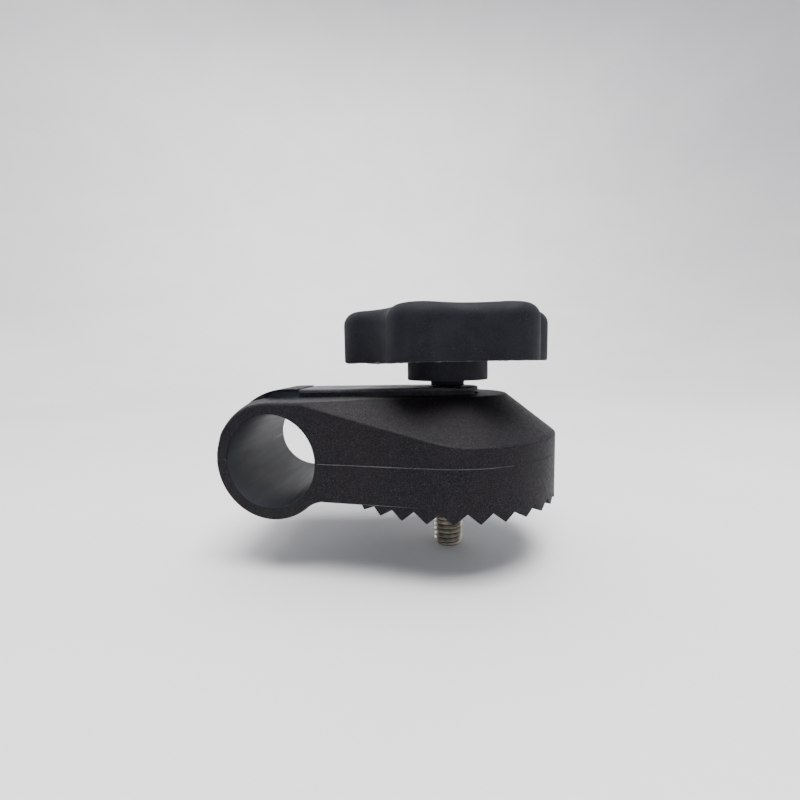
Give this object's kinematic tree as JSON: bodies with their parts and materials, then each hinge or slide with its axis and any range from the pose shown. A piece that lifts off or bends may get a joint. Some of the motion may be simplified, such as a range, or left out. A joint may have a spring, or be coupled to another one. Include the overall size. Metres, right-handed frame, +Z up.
{
  "type": "swivel clamp bracket",
  "caption": "Swivel bracket with a split tube ring, a toothed disc underneath and a lobed hand knob on a through bolt that closes the ring and locks the tilt.",
  "frame": {"origin": "on the knob bolt's axis, in the plane of the tooth tips, which is the face that meets the mating toothed disc", "axes": "+Z up the bolt towards the knob, -X towards the tube ring, Y along the ring's bore"},
  "size_m": [0.0844, 0.056, 0.0641],
  "materials": {
    "shell_plastic": "glass-filled nylon, fine sparkling grain",
    "plate_plastic": "smooth black nylon",
    "knob_plastic": "smooth blue-black nylon",
    "bolt_steel": "bright zinc-plated steel",
    "clip_steel": "spring steel"
  },
  "bodies": {
    "lower": {"lower_shell": "shell_plastic"},
    "upper": {"upper_shell": "shell_plastic", "clamp_plate": "plate_plastic"},
    "knob": {"knob_grip": "knob_plastic", "knob_bolt": "bolt_steel", "retaining_clip": "clip_steel"}
  },
  "joints": [
    {"name": "clamp_open", "type": "slide", "parent": "lower", "child": "upper", "axis": [0, 0, 1], "range_m": [0, 0.00156]},
    {"name": "knob_turn", "type": "hinge", "parent": "upper", "child": "knob", "pos_m": [0, 0, 0.0282], "axis": [0, 0, 1], "range_deg": [0, 450]}
  ],
  "couplings": [
    {"joint": "knob_turn", "follows": "clamp_open", "rad_per_m": 5026.5}
  ]
}
